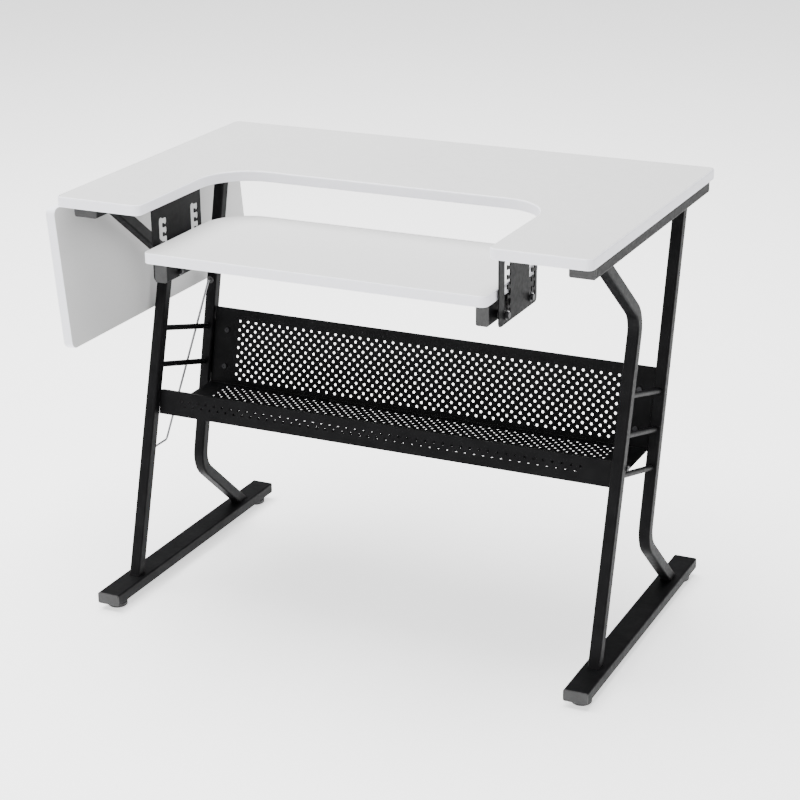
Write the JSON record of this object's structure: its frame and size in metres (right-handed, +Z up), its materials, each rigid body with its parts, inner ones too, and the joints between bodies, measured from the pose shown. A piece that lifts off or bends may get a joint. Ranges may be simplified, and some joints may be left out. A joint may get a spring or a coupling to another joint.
{
  "type": "sewing table",
  "caption": "White sewing table with a machine cut-out and lifting platform, a drop leaf on a swing-up stay rod, a black tube frame and a perforated basket.",
  "frame": {"origin": "on the floor, under the middle of the whole table with its leaf hanging", "axes": "+X to the right along the worktop, away from the hinged leaf; +Y to the back, away from the user's seat at the cut-out; +Z up"},
  "size_m": [0.9502, 0.6, 0.75],
  "materials": {
    "white_board": "smooth white laminate over particle board",
    "black_steel": "satin black powder coat",
    "bright_steel": "bright drawn or plated steel",
    "zinc_hardware": "zinc plated",
    "black_hardware": "blackened steel",
    "black_plastic": "moulded black plastic"
  },
  "bodies": {
    "frame": {"basket_back_panel": "black_steel", "basket_floor": "black_steel", "basket_front_lip": "black_steel", "basket_nuts": "zinc_hardware", "basket_screws": "black_hardware", "comb_plate_screws": "zinc_hardware", "front_hinge_fixed_plate": "bright_steel", "front_hinge_pin": "bright_steel", "glide_inserts": "zinc_hardware", "hinge_screws_worktop": "bright_steel", "left_basket_bracket": "black_steel", "left_comb_plate": "black_steel", "left_foot_bar": "black_steel", "left_front_foot_cap": "black_plastic", "left_front_leg": "black_steel", "left_front_rail_cap": "black_plastic", "left_lower_rung": "black_steel", "left_middle_rung": "black_steel", "left_rear_foot_cap": "black_plastic", "left_rear_leg": "black_steel", "left_rear_rail_cap": "black_plastic", "left_top_rail": "black_steel", "left_upper_rung": "black_steel", "lip_bolts": "black_hardware", "rail_screws": "zinc_hardware", "rear_hinge_fixed_plate": "bright_steel", "rear_hinge_pin": "bright_steel", "right_basket_bracket": "black_steel", "right_comb_plate": "black_steel", "right_foot_bar": "black_steel", "right_front_foot_cap": "black_plastic", "right_front_leg": "black_steel", "right_front_rail_cap": "black_plastic", "right_lower_rung": "black_steel", "right_middle_rung": "black_steel", "right_rear_foot_cap": "black_plastic", "right_rear_leg": "black_steel", "right_rear_rail_cap": "black_plastic", "right_top_rail": "black_steel", "right_upper_rung": "black_steel", "rod_bush": "black_plastic", "tabletop": "white_board"},
    "leaf": {"front_hinge_moving_plate": "bright_steel", "hinge_screws_leaf": "bright_steel", "leaf_board": "white_board", "rear_hinge_moving_plate": "bright_steel"},
    "left_front_glide": {"left_front_glide": "black_plastic"},
    "platform": {"left_platform_rail": "black_steel", "platform_board": "white_board", "platform_bolts": "black_hardware", "platform_nuts": "black_hardware", "platform_rail_caps": "black_plastic", "platform_rail_screws": "zinc_hardware", "platform_spacers": "black_plastic", "right_platform_rail": "black_steel"},
    "left_rear_glide": {"left_rear_glide": "black_plastic"},
    "right_front_glide": {"right_front_glide": "black_plastic"},
    "right_rear_glide": {"right_rear_glide": "black_plastic"},
    "support_rod": {"support_rod": "bright_steel"}
  },
  "joints": [
    {"name": "leaf_hinge", "type": "hinge", "parent": "frame", "child": "leaf", "pos_m": [-0.45614, 0, 0.7305], "axis": [0, 1, 0], "range_deg": [0, 94.87]},
    {"name": "rod_pivot", "type": "hinge", "parent": "frame", "child": "support_rod", "pos_m": [-0.41444, 0.1, 0.496], "axis": [0, 1, 0], "range_deg": [0, 144.27]},
    {"name": "platform_lift", "type": "slide", "parent": "frame", "child": "platform", "axis": [0, 0, 1], "range_m": [0, 0.077]},
    {"name": "left_front_glide_height", "type": "slide", "parent": "frame", "child": "left_front_glide", "axis": [0, 0, -1], "range_m": [0, 0.008]},
    {"name": "left_rear_glide_height", "type": "slide", "parent": "frame", "child": "left_rear_glide", "axis": [0, 0, -1], "range_m": [0, 0.008]},
    {"name": "right_front_glide_height", "type": "slide", "parent": "frame", "child": "right_front_glide", "axis": [0, 0, -1], "range_m": [0, 0.008]},
    {"name": "right_rear_glide_height", "type": "slide", "parent": "frame", "child": "right_rear_glide", "axis": [0, 0, -1], "range_m": [0, 0.008]}
  ],
  "couplings": [
    {"joint": "rod_pivot", "follows": "leaf_hinge", "ratio": 1.5207}
  ]
}
